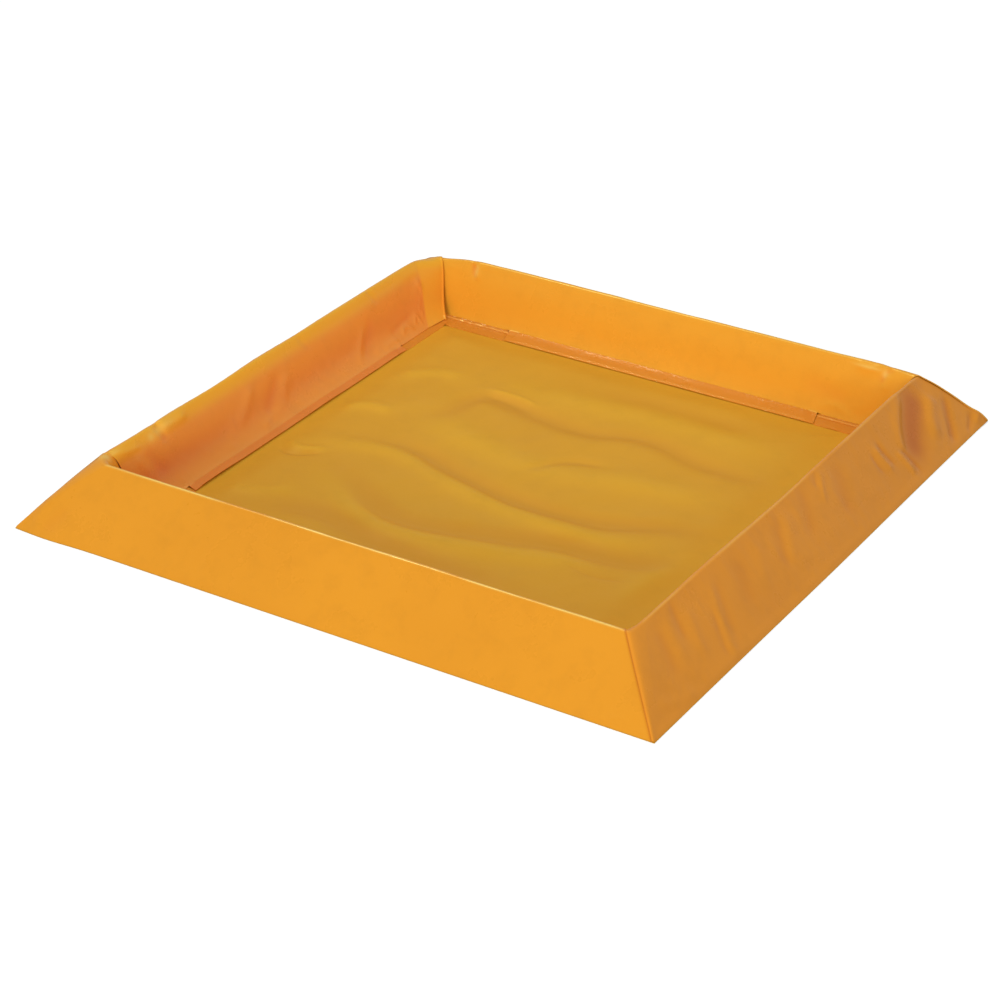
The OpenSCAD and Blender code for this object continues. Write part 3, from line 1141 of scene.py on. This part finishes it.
def coated_fabric(name, deep, bright, painted_shade, gloss=(0.22, 0.38), shine=0.5):
    """Glossy plastic coating over a woven scrim: two close oranges, painted shade in a deeper one, a dark
    line at the seams that is a weld's mark and painted shade at a lap's edge, painted light and painted
    highlights in paler ones, uneven gloss, faint weave and orange peel."""
    material, nodes, links, shader = node_tree(name)
    where = own_place(nodes)
    broad = remap(nodes, links, noise(nodes, links, where, 3.0, 2.0), 0, 1)
    fine = remap(nodes, links, noise(nodes, links, where, 26.0, 4.0, 0.6), 0, 1)
    worn = remap(nodes, links, fine, 0.0, 0.35, 0.45, 1.0)
    seam_and_shade = combine(nodes, links, "MULTIPLY", marked(nodes, "seam"), 0.8)
    colour = mix_colours(nodes, links, broad, deep, bright)
    for share, other in (
        (worn, tuple(0.9 * c for c in deep)),
        (marked(nodes, "painted_shade"), painted_shade),
        (marked(nodes, "painted_light"), PAINTED_LIGHT_COLOUR),
        (marked(nodes, "ridge"), PAINTED_HIGHLIGHT_COLOUR),
        (seam_and_shade, SEAM_AND_SHADE_COLOUR),
    ):
        colour = mix_colours(nodes, links, share, colour, other)
    links.new(colour, shader.inputs["Base Color"])
    rough = remap(nodes, links, noise(nodes, links, where, 9.0, 5.0, 0.62), *gloss)
    links.new(rough, shader.inputs["Roughness"])
    shader.inputs["IOR"].default_value = 1.5
    shader.inputs["Specular IOR Level"].default_value = shine
    shader.inputs["Specular Tint"].default_value = (1.0, 0.82, 0.22, 1)
    ribs = [threads(nodes, links, where, direction, THREAD_PITCH) for direction in "XY"]
    normal = bump(nodes, links, combine(nodes, links, "ADD", *ribs), 0.00002, 0.35)
    peel = noise(nodes, links, where, 260.0, 2.0)
    normal = bump(nodes, links, peel, 0.00004, 0.5, normal)
    soft = noise(nodes, links, where, 34.0, 3.0, 0.55)
    normal = bump(nodes, links, soft, 0.0009, 0.35, normal)
    links.new(normal, shader.inputs["Normal"])
    return material


def closed_cell_foam():
    material, nodes, links, shader = node_tree("closed_cell_foam")
    cell = cells(nodes, links, 700.0)
    share = remap(nodes, links, cell, 0, 1, 0.0, 0.6)
    colour = mix_colours(nodes, links, share, (0.62, 0.61, 0.56), (0.76, 0.75, 0.70))
    links.new(colour, shader.inputs["Base Color"])
    shader.inputs["Roughness"].default_value = 0.85
    links.new(bump(nodes, links, cell, 0.0004, 0.6), shader.inputs["Normal"])
    return material


def hook_and_loop(name, scale, height):
    """The black closure strips: fine hooks or tangled loops."""
    material, nodes, links, shader = node_tree(name)
    pile = cells(nodes, links, scale)
    share = remap(nodes, links, pile, 0, 1, 0.0, 0.7)
    colour = mix_colours(nodes, links, share, (0.035, 0.035, 0.037), (0.012, 0.012, 0.013))
    links.new(colour, shader.inputs["Base Color"])
    shader.inputs["Roughness"].default_value = 0.9
    shader.inputs["Sheen Weight"].default_value = 0.3
    links.new(bump(nodes, links, pile, height, 0.8), shader.inputs["Normal"])
    return material


# --- put together ---

# Tones of the coating as (slope, crest, painted shade in the hollows)
SLOPE, CREST, HOLLOW_SHADE = (0.85, 0.418, 0.031), (0.87, 0.436, 0.031), (0.775, 0.340, 0.031)
LIT_COVER_TONES = {  # tones set for each cover to the light and shade on its faces: lit and shaded copies of the coating, painted light and painted shade
    "front": ((0.87, 0.330, 0.022), (0.92, 0.357, 0.023), (0.82, 0.27, 0.02)),
    "right": ((0.85, 0.295, 0.026), (0.89, 0.315, 0.027), (0.64, 0.155, 0.022)),
    "back": ((0.88, 0.376, 0.030), (0.93, 0.403, 0.031), (0.84, 0.275, 0.034)),
    "left": ((0.90, 0.308, 0.050), (0.95, 0.332, 0.051), (0.80, 0.20, 0.050)),
}
PATCH_TONES = (0.80, 0.280, 0.028), (0.85, 0.305, 0.029), (0.79, 0.260, 0.027)
FLOOR_GLOSS, FLOOR_SHINE = (0.46, 0.6), 0.14  # the floor is duller than the covers

floor_fabric = coated_fabric("coated_fabric_floor", SLOPE, CREST, HOLLOW_SHADE, FLOOR_GLOSS, FLOOR_SHINE)
patch_fabric = coated_fabric("coated_fabric_patches", *PATCH_TONES)
foam_material = closed_cell_foam()
hook_material = hook_and_loop("hook_strip_nylon", 900.0, 0.0005)
loop_material = hook_and_loop("loop_strip_nylon", 420.0, 0.0004)

make_liner(floor_fabric)
for side in WALLS:
    foam_wedge = make_foam(side, foam_material)
    make_cover(side, coated_fabric(f"coated_fabric_{side}", *LIT_COVER_TONES[side]), foam_wedge)
    make_patch(side, patch_fabric)
    make_foot_tab(side, patch_fabric)
    make_strip(f"hook_strip_{side}", side, "tray", hook_material)
    make_strip(f"loop_strip_{side}", side, f"flap_{side}", loop_material)


# --- floor, light and camera ---


GROUND_HALF = 60.0
GROUND_Z = -0.0004
LIT = (0, 0, 0.05)  # where the lights point


def make_ground():
    corners = [(-1, -1, 0), (1, -1, 0), (1, 1, 0), (-1, 1, 0)]
    material, _, _, shader = node_tree("studio_white")
    ground = new_mesh("studio_floor", np.array(corners) * GROUND_HALF, [(0, 1, 2, 3)], material)
    ground.location.z = GROUND_Z
    shader.inputs["Base Color"].default_value = (0.9, 0.9, 0.9, 1)
    shader.inputs["Roughness"].default_value = 0.9
    shader.inputs["Specular IOR Level"].default_value = 0.1
    shader.inputs["Emission Color"].default_value = (1, 1, 1, 1)
    shader.inputs["Emission Strength"].default_value = 0.42
    ground.visible_diffuse = False  # the ground reads white, but throws no light up on the tray
    ground.visible_glossy = False


def area_light(name, where, size, power, glossy=True, diffuse=True):
    """A rectangular light that faces the tray."""
    light = bpy.data.lights.new(name, "AREA")
    light.shape = "RECTANGLE"
    light.size, light.size_y = size
    light.energy = power
    lamp = bpy.data.objects.new(name, light)
    lamp.location = where
    lamp.visible_glossy = glossy
    lamp.visible_diffuse = diffuse
    lamp.rotation_mode = "QUATERNION"
    lamp.rotation_quaternion = (Vector(LIT) - Vector(where)).to_track_quat("-Z", "Y")
    bpy.context.scene.collection.objects.link(lamp)


def make_world(strength):
    """Even light from above the horizon, a little cooler overhead, and none from below."""
    world = bpy.data.worlds.new("studio")
    bpy.context.scene.world = world
    world.use_nodes = True
    nodes, links = world.node_tree.nodes, world.node_tree.links
    parts = nodes.new("ShaderNodeSeparateXYZ")
    links.new(nodes.new("ShaderNodeTexCoord").outputs["Generated"], parts.inputs[0])
    level = remap(nodes, links, parts.outputs["Z"], 0.0, strength, -0.05, -0.015)
    high = remap(nodes, links, parts.outputs["Z"], 0.0, 1.0, 0.1, 0.8)
    colour = mix_colours(nodes, links, high, (1.04, 0.98, 0.96), (0.95, 1.03, 1.0))
    links.new(colour, nodes["Background"].inputs["Color"])
    links.new(level, nodes["Background"].inputs["Strength"])


make_ground()
make_world(0.63)
area_light("front_softbox", (0.9, -7.6, 1.6), (4.5, 1.6), 222, glossy=False)
area_light("side_card", (3.0, -3.0, 1.2), (1.0, 1.0), 17)
area_light("top_strip", (-0.6, 1.5, 3.7), (2.4, 0.4), 12)
area_light("edge_light", (-1.67, 0.18, 3.19), (0.5, 0.5), 60, diffuse=False)

CAMERA_AZIMUTH = math.radians(31.95)
CAMERA_HEIGHT = math.radians(28.84)
CAMERA_AWAY, CAMERA_RIGHT, CAMERA_UP = 4.876, -0.0319, -0.0474
level = math.cos(CAMERA_HEIGHT)
back = Vector(
    (math.sin(CAMERA_AZIMUTH) * level, -math.cos(CAMERA_AZIMUTH) * level, math.sin(CAMERA_HEIGHT))
)
right = Vector((math.cos(CAMERA_AZIMUTH), math.sin(CAMERA_AZIMUTH), 0))
up = back.cross(right)
camera_data = bpy.data.cameras.new("camera")
camera_data.lens = 101.56
camera_data.sensor_width = 36
camera_data.clip_end = 100
camera = bpy.data.objects.new("camera", camera_data)
bpy.context.scene.collection.objects.link(camera)
camera_place = back * CAMERA_AWAY + right * CAMERA_RIGHT + up * CAMERA_UP
facing = Matrix((right, up, back)).transposed().to_4x4()
camera.matrix_world = Matrix.Translation(camera_place) @ facing
bpy.context.scene.camera = camera
bpy.context.scene.view_settings.view_transform = "Standard"
